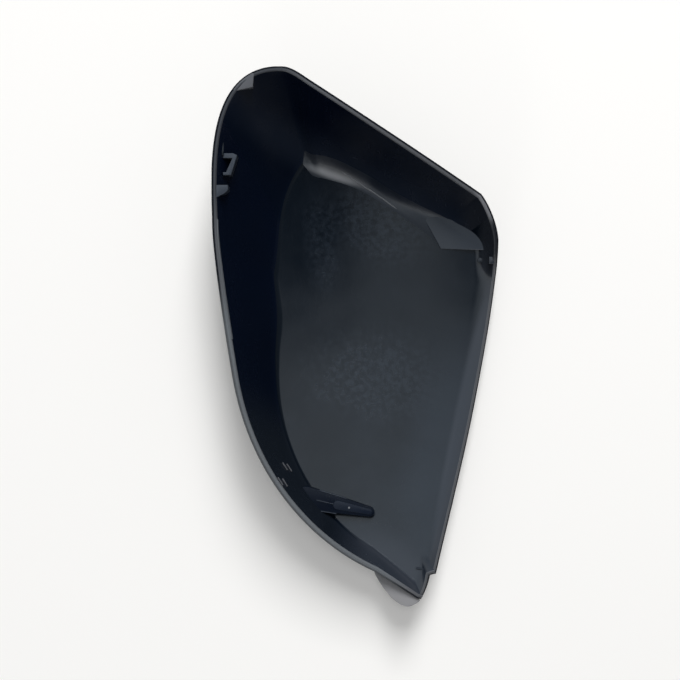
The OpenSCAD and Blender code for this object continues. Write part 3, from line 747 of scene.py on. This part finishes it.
def keep_in_box(piece):
    """Moves the points that finer facets put a fifth of a millimetre past the CAD's box back onto it."""
    points = np.empty(len(piece.data.vertices) * 3)
    piece.data.vertices.foreach_get("co", points)
    points = np.clip(points.reshape(-1, 3), *np.array([list(c) for c in cad_box]))
    piece.data.vertices.foreach_set("co", points.ravel())
    piece.data.update()


for piece in [shell] + fittings:
    keep_in_box(piece)
    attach(piece, BODY)
    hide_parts(NODE)
bpy.data.objects.remove(room)

# Stage and light
def seen_directly(tree):
    """1 for rays of the camera and for those off gloss or through a clear face, and 0 for the rest."""
    rays = node(tree, "ShaderNodeLightPath").outputs
    return maths(tree, "MAXIMUM", maths(tree, "MAXIMUM", rays["Is Camera Ray"], rays["Is Glossy Ray"]),
                 rays["Is Transmission Ray"])


FLOOR_HALF, FLOOR_Z = 6, -0.0001
floor_mesh = bpy.data.meshes.new("floor")
floor_corners = [(x * FLOOR_HALF, y * FLOOR_HALF, FLOOR_Z) for x, y in ((-1, -1), (1, -1), (1, 1), (-1, 1))]
floor_mesh.from_pydata(floor_corners, [], [(0, 1, 2, 3)])
floor_mat, tree, bsdf = new_material("floor_paint")
bsdf.inputs["Base Color"].default_value = (0.82, 0.815, 0.80, 1)
bsdf.inputs["Roughness"].default_value = 0.9
bsdf.inputs["Specular IOR Level"].default_value = 0.1
bsdf.inputs["Emission Color"].default_value = (1, 1, 1, 1)
tree.links.new(times(tree, seen_directly(tree), 0.12), bsdf.inputs["Emission Strength"])
floor_mesh.materials.append(floor_mat)
floor = bpy.data.objects.new("floor", floor_mesh)
bpy.context.scene.collection.objects.link(floor)


def direction(zenith, azimuth):
    """Unit vector towards a place in the room, by its angles in degrees."""
    z, a = math.radians(zenith), math.radians(azimuth)
    return np.array([math.sin(z) * math.cos(a), math.sin(z) * math.sin(a), math.cos(z)])


# The room that the gloss shows. It darkens towards +x, and each toward() is one darker or paler place in
# it, by its zenith and azimuth in degrees.
world = bpy.data.worlds.new("studio")
bpy.context.scene.world = world
world.use_nodes = True
tree = world.node_tree
ray = node(tree, "ShaderNodeTexCoord").outputs["Generated"]
across = node(tree, "ShaderNodeSeparateXYZ", {0: ray}).outputs


def toward(zenith, azimuth, edge, core):
    """1 within core degrees of a direction, falling to 0 at edge degrees."""
    dot = node(tree, "ShaderNodeVectorMath", {0: ray, 1: direction(zenith, azimuth)}, operation="DOT_PRODUCT")
    return ramp(tree, dot.outputs["Value"], math.cos(math.radians(edge)), math.cos(math.radians(core)))


def dimmed(value, share):
    """value with a share of it taken away."""
    return times(tree, value, maths(tree, "SUBTRACT", 1.0, share))


def blended(share, a, b):
    """a where share is 0 and b where it is 1."""
    return maths(tree, "ADD", dimmed(a, share), times(tree, share, b))


ceiling = dimmed(ramp(tree, across["Y"], -0.16, 0.36, 0.62, 1.05), times(tree, toward(15, -60, 19, 5), 0.94))
ceiling = times(tree, ceiling, ramp(tree, across["X"], 0.22, 0.42, 1.0, 0.15))
side = blended(toward(60, -112, 44, 24), ramp(tree, across["X"], -0.9, 0.7, 0.9, 0.1), 1.0)
room_light = blended(ramp(tree, across["Z"], 0.82, 0.6), ceiling, side)
room_light = dimmed(room_light, times(tree, toward(97, -70, 42, 24), 0.92))
room_light = dimmed(room_light, times(tree, toward(32, 193, 11, 3), 0.85))
room_light = blended(ramp(tree, across["Z"], 0.08, 0.0), room_light, 1.0)
seen = seen_directly(tree)
background = tree.nodes["Background"]
tree.links.new(blended(seen, 0.25, room_light), background.inputs["Strength"])
tint = times(tree, seen, ramp(tree, across["Z"], 0.1, 0.5))
tree.links.new(mix_colour(tree, tint, (1, 1, 1, 1), (0.88, 0.97, 1.04, 1)), background.inputs["Color"])


def area_light(name, place, distance, size, radiance):
    """Soft light that faces the object from place, its zenith and azimuth in degrees. radiance is the
    brightness of its face."""
    light = bpy.data.lights.new(name, "AREA")
    light.shape = "RECTANGLE"
    light.size, light.size_y = size
    light.energy = radiance * math.pi * size[0] * size[1]
    obj = bpy.data.objects.new(name, light)
    bpy.context.scene.collection.objects.link(obj)
    obj.location = direction(*place) * distance
    obj.rotation_euler = (math.radians(place[0]), 0, math.radians(place[1] + 90))
    return obj


SOFT_LIGHTS = [("key_softbox", (41, 82), (0.9, 1.7), 16.6), ("fill", (8, 84), (0.7, 0.7), 7.4)]
for name, place, size, radiance in SOFT_LIGHTS:
    area_light(name, place, 3.0, size, radiance).visible_glossy = False
area_light("window", (64, -106), 1.1, (0.3, 0.26), 3.2)

camera_data = bpy.data.cameras.new("camera")
camera_data.lens = LENS
camera_data.sensor_width = SENSOR
camera = bpy.data.objects.new("camera", camera_data)
camera.location = CAMERA_AT
bpy.context.scene.collection.objects.link(camera)
bpy.context.scene.camera = camera
bpy.context.scene.view_settings.view_transform = "Standard"
